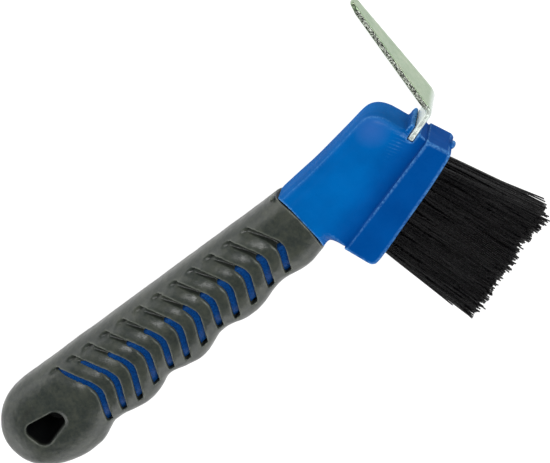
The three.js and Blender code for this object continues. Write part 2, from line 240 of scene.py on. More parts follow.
def relax(ob, steps, lam=0.5, mu=-0.52, weight=None):
    """Taubin smoothing, which rounds small edges and keeps the volume."""
    me = ob.data
    e = np.empty(len(me.edges) * 2, np.int64)
    me.edges.foreach_get("vertices", e)
    e = e.reshape(-1, 2)
    n = len(me.vertices)
    deg = np.maximum(np.bincount(e.ravel(), minlength=n), 1)[:, None]
    v = get_co(ob)
    for _ in range(steps):
        for k in (lam, mu):
            s = np.empty_like(v)
            for c in range(3):
                s[:, c] = (np.bincount(e[:, 0], v[e[:, 1], c], n) + np.bincount(e[:, 1], v[e[:, 0], c], n))
            d = s / deg - v
            v = v + k * (d if weight is None else d * weight[:, None])
    set_co(ob, v)
    return ob


def bend_attribute(ob, rounds=5, gain=1.0):
    """Stores how convex (1) or concave (0) each point's surroundings are, 0.5 being flat."""
    me = ob.data
    e = np.empty(len(me.edges) * 2, np.int64)
    me.edges.foreach_get("vertices", e)
    e = e.reshape(-1, 2)
    n = len(me.vertices)
    deg = np.maximum(np.bincount(e.ravel(), minlength=n), 1)

    def mean(f):
        return (np.bincount(e[:, 0], f[e[:, 1]], n) + np.bincount(e[:, 1], f[e[:, 0]], n)) / deg

    v, no = get_co(ob), get_no(ob)
    length = float(np.linalg.norm(v[e[:, 0]] - v[e[:, 1]], axis=1).mean())
    c = -sum((mean(v[:, k]) - v[:, k]) * no[:, k] for k in range(3)) / length ** 2
    for _ in range(rounds):
        c = 0.5 * c + 0.5 * mean(c)
    at = me.attributes.new("bend", "FLOAT", "POINT")
    at.data.foreach_set("value", np.clip(0.5 + gain * c, 0, 1).astype(np.float32))


def finish_piece(ob, mats, nodes, smooth=True):
    """To the row frame in metres, material, body and the CAD nodes it stands for."""
    set_co(ob, (get_co(ob) + SHIFT) / 1000.0)
    me = ob.data
    if mats is not None:
        me.materials.clear()
        me.materials.append(mats)
        me.polygons.foreach_set("material_index", np.zeros(len(me.polygons), np.int32))
    me.polygons.foreach_set("use_smooth", np.full(len(me.polygons), smooth))
    me.update()
    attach(ob, "root")
    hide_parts(*nodes)
    return ob


# ---------------------------------------------------------------- node materials
def new_mat(name):
    m = bpy.data.materials.new(name)
    m.use_nodes = True
    nt = m.node_tree
    nt.nodes.clear()
    out = nt.nodes.new("ShaderNodeOutputMaterial")
    b = nt.nodes.new("ShaderNodeBsdfPrincipled")
    nt.links.new(b.outputs[0], out.inputs[0])
    return m, nt, b


def lin(r, g, b):
    f = lambda c: (c / 255 / 12.92) if c <= 10.31 else (((c / 255) + 0.055) / 1.055) ** 2.4
    return (f(r), f(g), f(b), 1.0)


def coords(nt, scale=1000.0):
    """Object coordinates in millimetres."""
    tc = nt.nodes.new("ShaderNodeTexCoord")
    mp = nt.nodes.new("ShaderNodeMapping")
    mp.inputs["Scale"].default_value = (scale,) * 3
    nt.links.new(tc.outputs["Object"], mp.inputs["Vector"])
    return mp.outputs[0]


def noise_node(nt, vec, scale, detail=3.0, rough=0.5, distortion=0.0):
    n = nt.nodes.new("ShaderNodeTexNoise")
    n.inputs["Scale"].default_value = scale
    n.inputs["Detail"].default_value = detail
    n.inputs["Roughness"].default_value = rough
    n.inputs["Distortion"].default_value = distortion
    nt.links.new(vec, n.inputs["Vector"])
    return n.outputs["Fac"]


def ramp(nt, fac, stops, interp="LINEAR"):
    r = nt.nodes.new("ShaderNodeValToRGB")
    r.color_ramp.interpolation = interp
    el = r.color_ramp.elements
    while len(el) > 1:
        el.remove(el[-1])
    el[0].position, el[0].color = stops[0]
    for pos, col in stops[1:]:
        e = el.new(pos)
        e.color = col
    nt.links.new(fac, r.inputs[0])
    return r.outputs[0]


def span(nt, fac, a, b, c, d):
    m = nt.nodes.new("ShaderNodeMapRange")
    for k, v in zip(("From Min", "From Max", "To Min", "To Max"), (a, b, c, d)):
        m.inputs[k].default_value = v
    nt.links.new(fac, m.inputs["Value"])
    return m.outputs[0]


def bump(nt, height, strength, distance, normal=None):
    b = nt.nodes.new("ShaderNodeBump")
    b.inputs["Strength"].default_value = strength
    b.inputs["Distance"].default_value = distance
    nt.links.new(height, b.inputs["Height"])
    if normal is not None:
        nt.links.new(normal, b.inputs["Normal"])
    return b.outputs[0]


def mixc(nt, fac, a, b, blend="MIX"):
    m = nt.nodes.new("ShaderNodeMix")
    m.data_type, m.blend_type = "RGBA", blend
    for sock, val in ((m.inputs[0], fac), (m.inputs[6], a), (m.inputs[7], b)):
        if hasattr(val, "links"):
            nt.links.new(val, sock)
        else:
            sock.default_value = val
    return m.outputs[2]


def bend_node(nt):
    a = nt.nodes.new("ShaderNodeAttribute")
    a.attribute_name = "bend"
    return a.outputs["Fac"]


def blue_material():
    m, nt, b = new_mat("moulded_blue_polypropylene")
    v = coords(nt)
    big = noise_node(nt, v, 0.09, 2.0, 0.5)
    fine = noise_node(nt, v, 1.7, 4.0, 0.6)
    bend = bend_node(nt)
    col = ramp(nt, big, [(0.3, lin(0, 88, 162)), (0.55, lin(0, 95, 171)), (0.75, lin(0, 101, 179))])
    speck = noise_node(nt, v, 5.5, 2.0, 0.6)
    col = mixc(nt, span(nt, speck, 0.62, 0.8, 0.0, 0.15), col, lin(30, 115, 190))
    # painted shade: the blue is darkened towards the seam and over the brush block
    sep = nt.nodes.new("ShaderNodeVectorMath")
    sep.operation = "DOT_PRODUCT"
    k = 0.2569 / math.hypot(1, 0.2569)
    n = (-k, 1 / math.hypot(1, 0.2569), 0.0)
    p0 = (13.9 + SHIFT[0], -12.9 + SHIFT[1], 0.0)
    sep.inputs[1].default_value = n
    nt.links.new(v, sep.inputs[0])
    off = n[0] * p0[0] + n[1] * p0[1]
    deep = ramp(nt, span(nt, sep.outputs["Value"], off - 1.0, off + 9.0, 0.0, 1.0),
                [(0.0, (0.50, 0.60, 0.74, 1)), (0.10, (0.42, 0.50, 0.66, 1)), (0.45, (0.68, 0.76, 0.86, 1)), (1.0, (1, 1, 1, 1))])
    col = mixc(nt, 1.0, col, deep, "MULTIPLY")
    inside = nt.nodes.new("ShaderNodeSeparateXYZ")
    nt.links.new(v, inside.inputs[0])
    # painted shade with dust: a darker, duller blue with pale speckles for the bar seen down the slots
    slot_dust_and_shade = ramp(nt, noise_node(nt, v, 2.4, 3.0, 0.7), [(0.36, lin(6, 36, 84)), (0.56, lin(12, 62, 124)), (0.72, lin(20, 76, 138)), (0.84, lin(84, 112, 146))])
    # painted highlight: a soft pale spot near the top of the head
    painted_highlight_spot = nt.nodes.new("ShaderNodeVectorMath")
    painted_highlight_spot.operation = "DISTANCE"
    painted_highlight_spot.inputs[1].default_value = (44.6 + SHIFT[0], 9.4 + SHIFT[1], 9.0 + SHIFT[2])
    nt.links.new(v, painted_highlight_spot.inputs[0])
    painted_highlight = span(nt, painted_highlight_spot.outputs["Value"], 1.0, 6.0, 0.62, 0.0)
    col = mixc(nt, painted_highlight, col, lin(58, 102, 176))
    # painted highlight, partly wear: a broken pale line on the crisp convex edges
    edge_highlight_and_wear = nt.nodes.new("ShaderNodeMath")
    edge_highlight_and_wear.operation = "MULTIPLY"
    nt.links.new(span(nt, bend, 0.54, 0.74, 0.0, 0.9), edge_highlight_and_wear.inputs[0])
    nt.links.new(span(nt, noise_node(nt, v, 1.3, 3.0, 0.7), 0.40, 0.62, 0.15, 1.0), edge_highlight_and_wear.inputs[1])
    col = mixc(nt, edge_highlight_and_wear.outputs[0], col, lin(96, 156, 214))
    # painted shade: darker blue in the concave creases
    col = mixc(nt, span(nt, bend, 0.42, 0.10, 0.0, 0.6), col, lin(0, 48, 112))
    # painted shade: inside the sleeve (x < 8.9) that darker slot blue replaces the colour
    col = mixc(nt, span(nt, inside.outputs["X"], 8.4 + SHIFT[0], 8.9 + SHIFT[0], 0.94, 0.0), col, slot_dust_and_shade)
    nt.links.new(col, b.inputs["Base Color"])
    # the drafted side walls are eroded matt, the flat faces smoother
    face = nt.nodes.new("ShaderNodeNewGeometry")
    fz = nt.nodes.new("ShaderNodeSeparateXYZ")
    nt.links.new(face.outputs["Normal"], fz.inputs[0])
    up = nt.nodes.new("ShaderNodeMath")
    up.operation = "ABSOLUTE"
    nt.links.new(fz.outputs["Z"], up.inputs[0])
    rough = nt.nodes.new("ShaderNodeMath")
    rough.operation = "ADD"
    nt.links.new(span(nt, noise_node(nt, v, 0.45, 3.0, 0.55), 0.3, 0.7, 0.22, 0.34), rough.inputs[0])
    nt.links.new(span(nt, up.outputs[0], 0.45, 0.85, 0.50, 0.0), rough.inputs[1])
    nt.links.new(rough.outputs[0], b.inputs["Roughness"])
    b.inputs["Specular IOR Level"].default_value = 0.07
    b.inputs["IOR"].default_value = 1.45
    h = bump(nt, fine, 0.10, 0.00006)
    h = bump(nt, noise_node(nt, v, 0.35, 2.0, 0.5), 0.25, 0.00012, h)
    nt.links.new(h, b.inputs["Normal"])
    return m


def rubber_material():
    m, nt, b = new_mat("soft_rubber_dark_grey")
    v = coords(nt)
    blot = noise_node(nt, v, 0.16, 5.0, 0.62, 0.4)
    mid = noise_node(nt, v, 0.9, 4.0, 0.6)
    bend = bend_node(nt)
    col = ramp(nt, blot, [(0.28, lin(34, 41, 39)), (0.5, lin(46, 52, 48)), (0.70, lin(64, 68, 60))])
    col = mixc(nt, span(nt, mid, 0.40, 0.75, 0.0, 0.40), col, lin(80, 82, 70))
    grain = noise_node(nt, v, 3.4, 4.0, 0.7)
    col = mixc(nt, span(nt, grain, 0.55, 0.75, 0.0, 0.30), col, lin(92, 94, 84))
    # painted highlight: paler on the convex edges; painted shade: darker in the slots and creases
    col = mixc(nt, span(nt, bend, 0.62, 0.98, 0.0, 0.38), col, lin(126, 131, 120))
    col = mixc(nt, span(nt, bend, 0.44, 0.12, 0.0, 0.80), col, lin(16, 18, 17))
    # painted shade: near-black deep inside the hang hole
    hole = nt.nodes.new("ShaderNodeVectorMath")
    hole.operation = "MULTIPLY"
    hole.inputs[1].default_value = (1.0, 1.0, 0.30)
    nt.links.new(v, hole.inputs[0])
    deep = nt.nodes.new("ShaderNodeVectorMath")
    deep.operation = "DISTANCE"
    deep.inputs[1].default_value = (-95.6 + SHIFT[0], 0.3 + SHIFT[1], 0.30 * SHIFT[2])
    nt.links.new(hole.outputs[0], deep.inputs[0])
    zz = nt.nodes.new("ShaderNodeSeparateXYZ")
    nt.links.new(v, zz.inputs[0])
    half = nt.nodes.new("ShaderNodeMath")
    half.operation = "SUBTRACT"
    half.inputs[1].default_value = SHIFT[2]
    nt.links.new(zz.outputs["Z"], half.inputs[0])
    depth = nt.nodes.new("ShaderNodeMath")
    depth.operation = "ABSOLUTE"
    nt.links.new(half.outputs[0], depth.inputs[0])
    hole_shade = nt.nodes.new("ShaderNodeMath")
    hole_shade.operation = "MULTIPLY"
    nt.links.new(span(nt, deep.outputs["Value"], 7.9, 9.0, 1.0, 0.0), hole_shade.inputs[0])
    nt.links.new(span(nt, depth.outputs[0], 7.5, 8.5, 0.93, 0.0), hole_shade.inputs[1])
    col = mixc(nt, hole_shade.outputs[0], col, lin(5, 5, 8))
    nt.links.new(col, b.inputs["Base Color"])
    nt.links.new(span(nt, noise_node(nt, v, 0.5, 4.0, 0.6), 0.3, 0.7, 0.28, 0.42), b.inputs["Roughness"])
    b.inputs["Specular IOR Level"].default_value = 0.45
    h = bump(nt, grain, 0.25, 0.00010)
    h = bump(nt, noise_node(nt, v, 0.6, 3.0, 0.5), 0.35, 0.00018, h)
    nt.links.new(h, b.inputs["Normal"])
    return m


def zinc_material():
    m, nt, b = new_mat("zinc_plated_strip")
    v = coords(nt)
    cloud = noise_node(nt, v, 0.22, 4.0, 0.6, 0.3)
    col = ramp(nt, cloud, [(0.3, lin(136, 158, 128)), (0.55, lin(148, 168, 138)), (0.75, lin(164, 172, 148))])
    # faint rolling lines along the strip
    mp = nt.nodes.new("ShaderNodeMapping")
    mp.inputs["Rotation"].default_value = (0.0, 0.0, math.radians(-85.8))
    mp.inputs["Scale"].default_value = (0.12, 6.0, 6.0)
    nt.links.new(v, mp.inputs["Vector"])
    roll = noise_node(nt, mp.outputs[0], 1.0, 3.0, 0.6)
    col = mixc(nt, span(nt, roll, 0.45, 0.8, 0.0, 0.25), col, lin(128, 144, 120))
    # painted highlight: the leg and the bend are painted bright and made less metallic
    along = nt.nodes.new("ShaderNodeSeparateXYZ")
    nt.links.new(v, along.inputs[0])
    leg_highlight = span(nt, along.outputs["Y"], 3.0 + SHIFT[1], 5.0 + SHIFT[1], 0.8, 0.0)
    col = mixc(nt, leg_highlight, col, lin(226, 234, 230))
    nt.links.new(col, b.inputs["Base Color"])
    nt.links.new(span(nt, leg_highlight, 0.0, 0.8, 1.0, 0.45), b.inputs["Metallic"])
    nt.links.new(span(nt, noise_node(nt, v, 0.8, 4.0, 0.6), 0.3, 0.7, 0.26, 0.40), b.inputs["Roughness"])
    h = bump(nt, roll, 0.06, 0.00005)
    nt.links.new(h, b.inputs["Normal"])
    return m


def sheared_material():
    m, nt, b = new_mat("sheared_steel_edge")
    v = coords(nt)
    grit = noise_node(nt, v, 2.6, 5.0, 0.75, 0.6)
    col = ramp(nt, grit, [(0.40, lin(24, 25, 24)), (0.49, lin(60, 63, 58)), (0.55, lin(190, 198, 184)), (0.66, lin(235, 240, 230))])
    along = nt.nodes.new("ShaderNodeSeparateXYZ")
    nt.links.new(v, along.inputs[0])
    # painted highlight on the leg's edge; the ground tip end is paler steel
    leg_highlight = span(nt, along.outputs["Y"], 3.4 + SHIFT[1], 5.2 + SHIFT[1], 0.88, 0.0)
    tip = span(nt, along.outputs["Y"], 37.4 + SHIFT[1], 38.4 + SHIFT[1], 0.0, 0.85)
    leg_highlight_and_ground_tip = nt.nodes.new("ShaderNodeMath")
    leg_highlight_and_ground_tip.operation = "ADD"
    nt.links.new(leg_highlight, leg_highlight_and_ground_tip.inputs[0])
    nt.links.new(tip, leg_highlight_and_ground_tip.inputs[1])
    col = mixc(nt, leg_highlight_and_ground_tip.outputs[0], col, ramp(nt, grit, [(0.36, lin(120, 130, 118)), (0.5, lin(214, 224, 216)), (0.7, lin(240, 244, 240))]))
    nt.links.new(col, b.inputs["Base Color"])
    nt.links.new(span(nt, leg_highlight_and_ground_tip.outputs[0], 0.0, 0.85, 0.85, 0.25), b.inputs["Metallic"])
    nt.links.new(span(nt, noise_node(nt, v, 4.0, 3.0, 0.6), 0.3, 0.7, 0.35, 0.62), b.inputs["Roughness"])
    h = bump(nt, grit, 0.9, 0.00018)
    nt.links.new(h, b.inputs["Normal"])
    return m


def nylon_material():
    m, nt, b = new_mat("black_nylon_bristle")
    v = coords(nt)
    col = ramp(nt, noise_node(nt, v, 0.5, 3.0, 0.6), [(0.3, lin(2, 2, 3)), (0.7, lin(7, 7, 9))])
    nt.links.new(col, b.inputs["Base Color"])
    nt.links.new(span(nt, noise_node(nt, v, 1.4, 3.0, 0.6), 0.3, 0.7, 0.20, 0.36), b.inputs["Roughness"])
    b.inputs["Specular IOR Level"].default_value = 0.18
    return m


def wire_material():
    m, nt, b = new_mat("flat_anchor_wire")
    v = coords(nt)
    col = ramp(nt, noise_node(nt, v, 1.5, 3.0, 0.6), [(0.3, lin(140, 142, 144)), (0.7, lin(182, 184, 186))])
    nt.links.new(col, b.inputs["Base Color"])
    b.inputs["Metallic"].default_value = 1.0
    nt.links.new(span(nt, noise_node(nt, v, 3.0, 2.0, 0.5), 0.3, 0.7, 0.28, 0.45), b.inputs["Roughness"])
    nt.links.new(bump(nt, noise_node(nt, v, 5.0, 3.0, 0.6), 0.3, 0.00004), b.inputs["Normal"])
    return m


BLUE, RUBBER, ZINC = blue_material(), rubber_material(), zinc_material()
SHEAR, NYLON, WIRE = sheared_material(), nylon_material(), wire_material()

# ---------------------------------------------------------------- sleeve shape
_top = table([[-114.2, 0.6], [-114, 3.2], [-113.4, 5.3], [-112, 7.9], [-110, 10.1], [-107, 12.6], [-103, 14.6],
              [-99, 15.5], [-95, 15.8], [-90, 15.6], [-82, 15.1], [-70, 14.6], [-50, 13.6], [-30, 12.7], [-10, 11.8],
              [0, 11.3], [8.6, 11.1]])
_bottom = table([[-114.2, -0.6], [-114, -3.6], [-113.4, -5.8], [-112, -8.3], [-110, -10.3], [-107, -12.4], [-103, -14.3],
                 [-99, -15.5], [-95, -16.2], [-91.5, -16.3], [-88, -15.9], [-84.5, -14.6], [-81, -13.3], [-78.5, -13.1],
                 [-75, -13.4], [-71, -14.3], [-67, -14.8], [-63.5, -14.5], [-60, -13.5], [-57.5, -12.5], [-55, -12.0],
                 [-52.5, -12.2], [-48.5, -13.3], [-44, -14.1], [-40.5, -13.7], [-37, -12.6], [-34, -11.6], [-31, -11.3],
                 [-28, -11.7], [-24, -12.8], [-20, -13.1], [-16.5, -12.6], [-13, -11.6], [-10, -10.8], [-7, -10.5],
                 [-4, -10.8], [0, -11.5], [3, -11.6], [6, -11.0], [8.6, -10.4]])
grip_top = lambda x: 0.972 * _top(x)
grip_bottom = lambda x: 0.962 * _bottom(x)
grip_half = table([[-114.2, 0.8], [-114, 2.6], [-113.4, 4.1], [-112, 5.4], [-110, 6.6], [-107, 7.7], [-103, 8.4],
                   [-95, 9.0], [-80, 9.35], [-60, 9.5], [-40, 9.5], [-20, 9.3], [0, 8.9], [8.6, 8.7]])
core_top = lambda x: grip_top(x) - 2.4
core_bottom = table([[-110, -6], [-105, -11.2], [-98, -13.2], [-92, -13.4], [-84, -12.0], [-78, -10.9], [-55, -9.8],
                     [-31, -9.15], [-7.5, -8.4], [8.6, -8.3]])
core_half = lambda x: grip_half(x) - (1.7 + ((x + 100) / 110) * 1.2)
butt_x = lambda x: x + np.where(x < -100, 0.6 * ((-100 - x) / 14.2), 0.0)
front_bow = lambda z: 3.0 * np.minimum(1, np.abs(z) / 8.7) ** 2
POWER = 2.45


def oval(x, top, bot, half, n, power=POWER):
    """Superellipse section at x with evenly spaced points."""
    t = np.linspace(0, 2 * np.pi, 1441)
    c, s = np.cos(t), np.sin(t)
    y = (top + bot) / 2 + (top - bot) / 2 * np.sign(c) * np.abs(c) ** (2 / power)
    z = half * np.sign(s) * np.abs(s) ** (2 / power)
    d = np.concatenate([[0], np.cumsum(np.hypot(np.diff(y), np.diff(z)))])
    q = np.linspace(0, d[-1], n, endpoint=False)
    return np.stack([np.full(n, float(x)), np.interp(q, d, y), np.interp(q, d, z)], 1)


SLOTS = 12


def slot_shape(i):
    t = i / (SLOTS - 1)
    xt = -79.9 + 6.97 * i
    y_top, y_bot = 12.4 - 3.2 * t, -10.6 + 3.0 * t
    y_tip = (y_top + y_bot) / 2 - 0.8
    d_top = 6.8 - 2.0 * t
    d_bot = d_top - 0.4 - 0.5 * t
    return xt, y_top, y_bot, y_tip, d_top, d_bot


def slot_mid(i, y):
    """x of the slot's middle line at height y, and s: -1 low end, 0 tip, +1 top end."""
    xt, y_top, y_bot, y_tip, d_top, d_bot = slot_shape(i)
    s = np.where(y < y_tip, (y - y_tip) / (y_tip - y_bot), (y - y_tip) / (y_top - y_tip))
    k = 0.3
    f = (np.sqrt(s * s + k * k) - k) / (np.sqrt(1 + k * k) - k)
    return xt + d_top - np.where(s < 0, d_bot, d_top) * f, s


# how far each slot runs on below the lower edge of the blue bar
RUN_ON = [0.0, 0.1, 1.0, 0.55, 0.1, 0.95, 1.0, 0.15, 1.0, 1.1, 0.6, 0.5]
# how far down each slot's upper limb the rubber floor reaches (0 top end, 1 tip)
BLUE_FROM = [-0.3, 0.44, 0.53, 0.60, 0.62, 0.72, 0.76, 0.77, 0.78, 0.80, 0.95, 1.08]


def blue_edge(i):
    xt, y_top, y_bot, y_tip, d_top, d_bot = slot_shape(i)
    y = y_top - BLUE_FROM[i] * (y_top - y_tip)
    return float(slot_mid(i, np.array([y]))[0][0]), y


_edges = [blue_edge(i) for i in range(SLOTS)]
step_y = table([[-112.0, 15.5], [-77.0, 15.5], [-74.5, 13.0]] + [[x, y] for x, y in _edges[1:]] + [[8.6, _edges[-1][1] - 0.6]])


HOLE_CORNERS = np.array([[-99.6, 1.85], [-91.6, 0.45], [-99.1, -1.3]])


def hang_hole(grow, n=96):
    """Rounded triangle, its narrow end towards the head."""
    a = 2 * np.pi * (np.arange(n) + 0.5) / n
    d = np.stack([np.cos(a), np.sin(a)], 1)
    return HOLE_CORNERS[np.argmax(d @ HOLE_CORNERS.T, axis=1)] + (2.8 + grow) * d


def column(name, grow, z0, z1):
    o = hang_hole(grow)
    return loft(name, [np.column_stack([o, np.full(len(o), z)]) for z in np.linspace(z0, z1, 5)])


bar_low = table([[-112, -13.0], [-98, -12.6], [-88, -11.6], [-79.9, -10.75], [-3.2, -7.75], [8.6, -7.6]])


def core_rings(grow, xs, n=200, notch=True):
    """The bar follows the sleeve's outside 1.2 mm down; its upper part is a thinner web."""
    rings = []
    for x in xs:
        e = 1.5 + 0.8 * float(smooth01((-99.0 - x) / 9.0))
        r = oval(x, grip_top(x) - 2.2 + grow, grip_bottom(x) + e - grow, grip_half(x) - e + grow, n)
        lo = float(bar_low(x)) - grow
        y = r[:, 1]
        r[:, 1] = np.where(y < lo, lo - 0.02 * (lo - y), y)
        w = smooth01((r[:, 1] - step_y(x)) / 0.9)
        lim = 3.6 + grow
        z = np.abs(r[:, 2])
        r[:, 2] = np.sign(r[:, 2]) * (z + (np.minimum(z, lim) - z) * w)
        rings.append(r)
    return rings


def build_grip():
    xs = np.concatenate([-114.2 + 10.2 * np.linspace(0, 1, 26) ** 2, np.arange(-103.6, 8.6, 0.5), [8.6]])
    rings = []
    for x in xs:
        r = oval(float(butt_x(x)), grip_top(x), grip_bottom(x), grip_half(x), 230)
        r[:, 0] += np.clip((x + 4) / 12.6, 0, None) * front_bow(r[:, 2])
        rings.append(r)
    grip = loft("rubber_grip_skin", rings)
    v = get_co(grip)
    x, y, z = v[:, 0].copy(), v[:, 1].copy(), v[:, 2].copy()
    face = smooth01((np.abs(z) / grip_half(x) - 0.35) / 0.4)
    push = np.zeros(len(v))
    for i in range(SLOTS):
        xt, y_top, y_bot, y_tip, d_top, d_bot = slot_shape(i)
        mid, s = slot_mid(i, y)
        u = x - mid
        near = (np.abs(u) < 6.0)
        # rounded shoulder on the butt side of the upper limb
        d = np.clip((-1.0 - u) / 4.1, 0, 1)
        along = smooth01((y_top + 0.9 - y) / 1.8) * smooth01((y - (y_tip + 0.3)) / 3.2)
        push += np.where(near & (u < 0.6), 1.50 * (1 - d) ** 1.9 * along, 0)
        # the lower limb only has softened edges
        low = smooth01(((y_tip + 1.0) - y) / 2.5) * smooth01((y - y_bot + 1.5) / 2.0)
        dl = np.clip((np.abs(u) - 1.1) / 1.6, 0, 1)
        push += np.where(near, 0.35 * (1 - dl) ** 2 * low, 0)
    z2 = z - np.sign(z) * push * face
    v[:, 2] = z2
    set_co(grip, v)
    # soft dents and swells of the moulded rubber
    n = get_no(grip)
    v = get_co(grip)
    v += n * (0.07 * fbm(v / 9.0, 3, 5) + 0.03 * fbm(v / 2.6, 2, 9))[:, None]
    set_co(grip, v)

    cut = loft("cavity", core_rings(0.12, np.concatenate([[-110.1], np.arange(-109.4, 15.8, 0.8), [16.0]])))
    combine(cut, [column("post", 2.3, -14, 14)], "DIFFERENCE")
    combine(grip, [cut], "DIFFERENCE")
    for side in (1, -1):
        boxes = []
        for i in range(SLOTS):
            xt, y_top, y_bot, y_tip, d_top, d_bot = slot_shape(i)
            s = np.linspace(-1, 1, 41)
            yy = np.where(s < 0, y_tip + (y_tip - y_bot) * s, y_tip + (y_top - y_tip) * s)
            mid, _ = slot_mid(i, yy)
            low_y = float(bar_low(mid[0])) - RUN_ON[i] + 0.15
            yy = np.where(s < -0.5, y_tip + (yy - y_tip) * (1 + (y_tip - low_y) / (y_tip - y_bot) * 1 - 1), yy)
            mid, _ = slot_mid(i, np.maximum(yy, y_bot - 2))
            w = 2.5 * (1 - 0.36 * smooth01((s - 0.72) / 0.28)) * (1 - 0.10 * smooth01((-s - 0.85) / 0.15))
            half = grip_half(mid)
            blind = half - 3.6
            deep = np.full_like(blind, 1.6)
            y_blue = _edges[i][1]
            k = smooth01((yy - (y_blue - 0.15)) / 0.3)
            z0 = deep + (blind - deep) * k
            # ends rounded over the last stations
            left = np.stack([mid - w / 2, yy], 1)
            right = np.stack([mid + w / 2, yy], 1)
            if side > 0:
                boxes.append(ribbon_box(f"w{i}", left, right, z0, 14.0))
            else:
                boxes.append(ribbon_box(f"w{i}", left, right, -14.0, -z0))
        combine(grip, [joined("windows", boxes)], "DIFFERENCE")

    # hang hole with a rounded mouth on both faces
    rings = []
    mouth = 2.1
    for z in np.concatenate([[-14, -11], np.linspace(-9.6, -6.0, 19), [-4, -2, 0, 2, 4], np.linspace(6.0, 9.6, 19), [11, 14]]):
        t = np.clip((abs(z) - (9.0 - mouth)) / mouth, 0, 1.25)
        grow = -0.25 + (mouth * 0.60) * (1 - math.sqrt(max(0.0, 1 - min(t, 1.0) ** 2)) if t < 1 else 1 + (t - 1) * 4)
        o = hang_hole(grow)
        rings.append(np.column_stack([o, np.full(len(o), z)]))
    combine(grip, [loft("hole", rings)], "DIFFERENCE")

    # small moulding nub at the front corner
    rings = []
    for a in np.linspace(-1, 1, 13):
        r = math.sqrt(max(0.0, 1 - a * a)) + 1e-3
        b = np.linspace(0, 2 * np.pi, 20, endpoint=False)
        rings.append(np.stack([7.9 + 1.0 * r * np.cos(b), 10.9 + 0.55 * r * np.sin(b), np.full(20, 3.0 + 1.5 * a)], 1))
    combine(grip, [loft("nub", rings)], "UNION")
    remesh(grip, 0.26)
    relax(grip, 4)
    v, n = get_co(grip), get_no(grip)
    v += n * (0.018 * fbm(v / 1.1, 2, 31))[:, None]
    set_co(grip, v)
    grip.name = "rubber_grip_v"
    bend_attribute(grip)
    return finish_piece(grip, RUBBER, ["rubber_grip"])


# ---------------------------------------------------------------- blue moulding
seam_y = lambda x: -12.9 + (x - 13.9) * 0.2569
head_top = table([[8.9, 9.9], [14, 10.2], [22, 10.6], [30, 11.4], [38, 12.3], [42, 12.8], [44.5, 12.9], [46.5, 12.2],
                  [48, 10.9], [49.2, 9.0], [50.1, 6.6], [50.8, 4.4], [51.4, 3.0], [52.4, 2.6], [53.4, 2.4]])
head_bottom = table([[8.9, -9.6], [10.2, -9.2], [11.6, -9.1], [12.8, -9.6], [13.8, -10.7], [14.8, -12.2], [16, -14.0],
                     [18, -13.6]])


def head_ring(x):
    top = float(head_top(x))
    bot = float(head_bottom(x)) if x < 18 else float(seam_y(x)) - 1.6
    seam = float(seam_y(x))
    hmax = 8.2 - 0.9 * max(0, (x - 20) / 34)
    R = min(5.5, (top - bot) * 0.6)
    n = 90
    a = np.linspace(0, np.pi, n)
    y = top + (bot - top) * (1 - np.cos(a)) / 2
    d = top - y
    h = hmax - 2.6 + 2.6 * np.sqrt(np.clip(1 - (1 - np.minimum(1, d / R)) ** 2, 0, None))
    h = h - (hmax - 2.6) * 0.35 * np.clip(1 - d / 0.5, 0, 1) ** 1.5
    k = np.clip((6.5 - (y - seam)) / 6.5, 0, 1)
    h = h - 1.1 * smooth01(k) * smooth01((x - 12.5) / 1.5)
    e = (y - bot) / 5.0
    m = min(1, max(0, (14.6 - x) / 2.5))
    r = np.minimum(h, 1.6 + (h - 1.6) * np.sqrt(np.clip(1 - (1 - np.clip(e, 0, 1)) ** 2, 0, None)))
    h = np.where(e < 1, (1 - m) * h + m * r, h)
    xx = x + front_bow(h) * max(0, min(1, (18 - x) / 9.1))
    up = np.stack([xx, y, h], 1)
    dn = up[::-1].copy()
    dn[:, 2] *= -1
    return np.concatenate([up, dn])


BLOCK = [[14.7, -12.6], [17.0, -20.0], [17.5, -21.1], [18.6, -21.75], [20.4, -21.5], [24.5, -20.4],
         [30.5, -18.6], [37.8, -16.4], [44, -14.5], [50, -12.5], [54.2, -11.0], [56.1, -10.1], [56.3, -9.0],
         [53.9, -2.9], [34, -7.9]]


def inset(pts, d):
    pts = np.asarray(pts, float)
    a, b = np.roll(pts, 1, 0), np.roll(pts, -1, 0)
    e1, e2 = pts - a, b - pts
    e1 /= np.linalg.norm(e1, axis=1)[:, None]
    e2 /= np.linalg.norm(e2, axis=1)[:, None]
    n = np.stack([-(e1 + e2)[:, 1], (e1 + e2)[:, 0]], 1)
    l = np.linalg.norm(n, axis=1)
    return pts + n / l[:, None] * (d / np.maximum(0.5, l / 2))[:, None]


def soft_plate(name, pts, half, soft):
    rings = []
    for k in range(5):
        a = math.pi / 2 * k / 4
        rings.append((soft * (1 - math.sin(a)), -half + soft * (1 - math.cos(a)) if False else -half + soft * (1 - math.cos(a))))
    lows = [(soft * (1 - math.sin(math.pi / 2 * k / 4)), half - soft + soft * math.cos(math.pi / 2 * k / 4)) for k in range(5)]
    seq = [(d, -h) for d, h in lows] + [(d, h) for d, h in reversed(lows)]
    return loft(name, [np.column_stack([inset(pts, d), np.full(len(pts), z)]) for d, z in seq])


def prism(name, pts, z0, z1):
    pts = np.asarray(pts, float)
    n = len(pts)
    verts = [(*p, z0) for p in pts] + [(*p, z1) for p in pts]
    faces = [tuple(range(n))[::-1], tuple(range(n, 2 * n))]
    faces += [(i, (i + 1) % n, n + (i + 1) % n, n + i) for i in range(n)]
    if signed_volume(verts, faces) < 0:
        faces = [tuple(reversed(f)) for f in faces]
    return raw_object(name, verts, faces)


